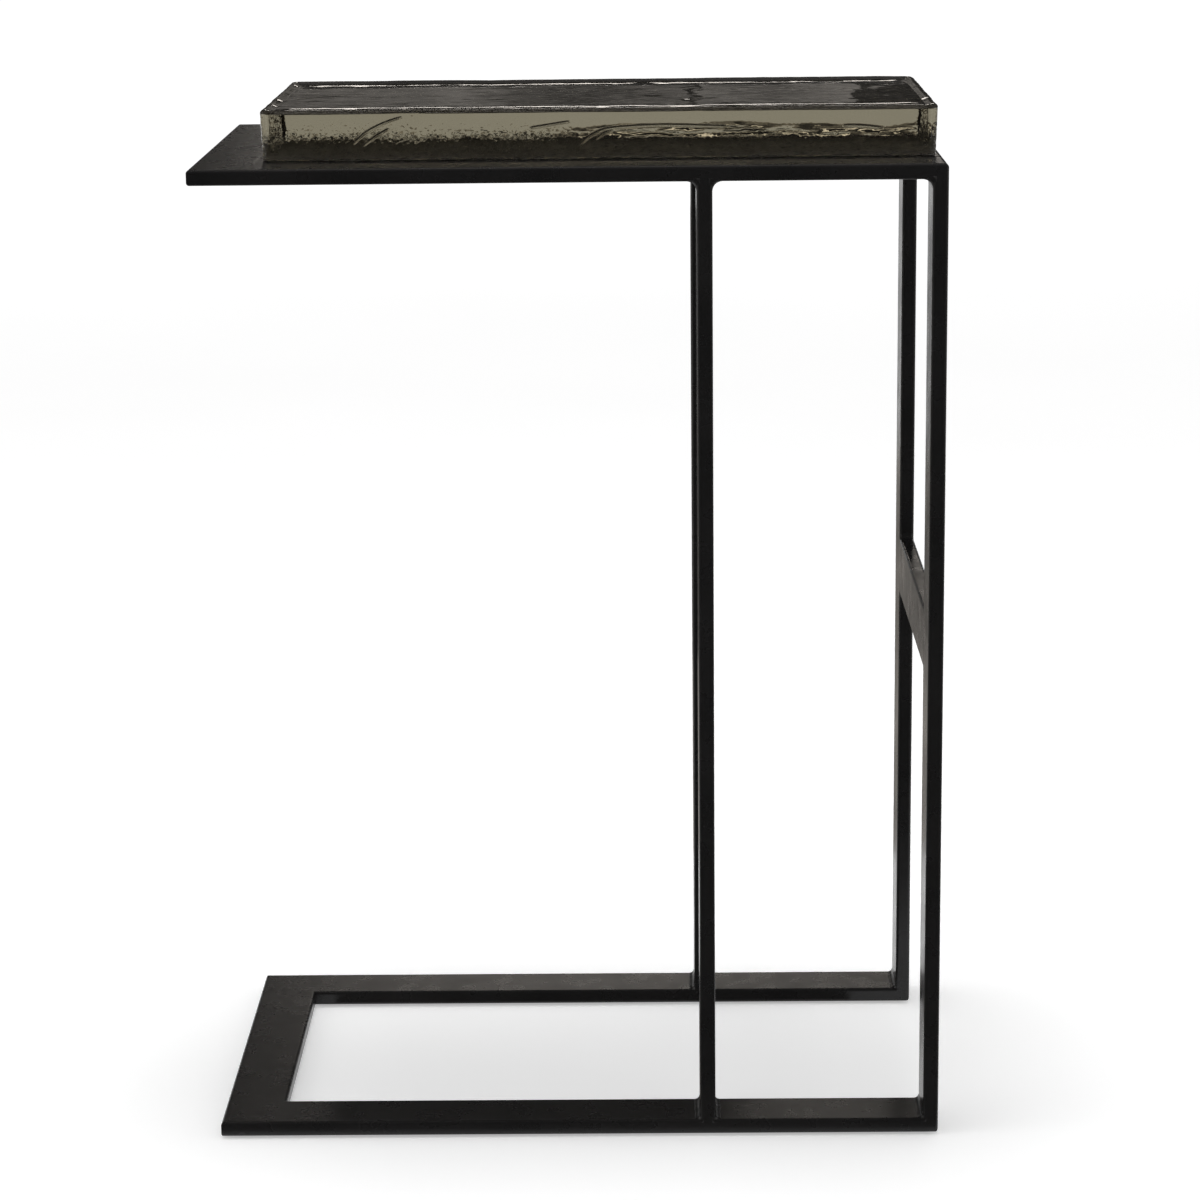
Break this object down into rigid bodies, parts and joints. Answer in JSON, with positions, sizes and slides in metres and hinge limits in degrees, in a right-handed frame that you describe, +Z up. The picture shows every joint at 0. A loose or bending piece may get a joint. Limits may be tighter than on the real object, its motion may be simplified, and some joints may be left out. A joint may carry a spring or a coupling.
{
  "type": "accent table",
  "caption": "C-shaped accent table: welded flat-tube frame, open base, legs at one end, cantilevered deck and a thick cast glass slab that rests on top.",
  "frame": {"origin": "on the floor, under the centre of the deck's outline", "axes": "+X to the leg end, +Y to the rear, +Z up; the open side of the C faces -X"},
  "size_m": [0.452, 0.282, 0.6425],
  "materials": {
    "frame_paint": "satin black",
    "smoke_glass": "cast, smoky olive grey",
    "clear_bumper": "clear silicone",
    "black_glide": "matt"
  },
  "bodies": {
    "frame": {"base_front_rail": "frame_paint", "base_rear_rail": "frame_paint", "base_left_rail": "frame_paint", "front_right_leg": "frame_paint", "rear_right_leg": "frame_paint", "front_middle_leg": "frame_paint", "rear_middle_leg": "frame_paint", "side_stretcher": "frame_paint", "deck_front_rail": "frame_paint", "deck_rear_rail": "frame_paint", "deck_left_rail": "frame_paint", "deck_right_rail": "frame_paint", "deck_panel": "frame_paint", "deck_leg_welds": "frame_paint", "base_leg_welds": "frame_paint", "stretcher_welds": "frame_paint", "slab_bumpers": "clear_bumper", "floor_glides": "black_glide"},
    "slab": {"glass_slab": "smoke_glass"}
  },
  "joints": [
    {"name": "slab_lift", "type": "slide", "parent": "frame", "child": "slab", "axis": [0, 0, 1], "range_m": [0, 0.08]}
  ]
}
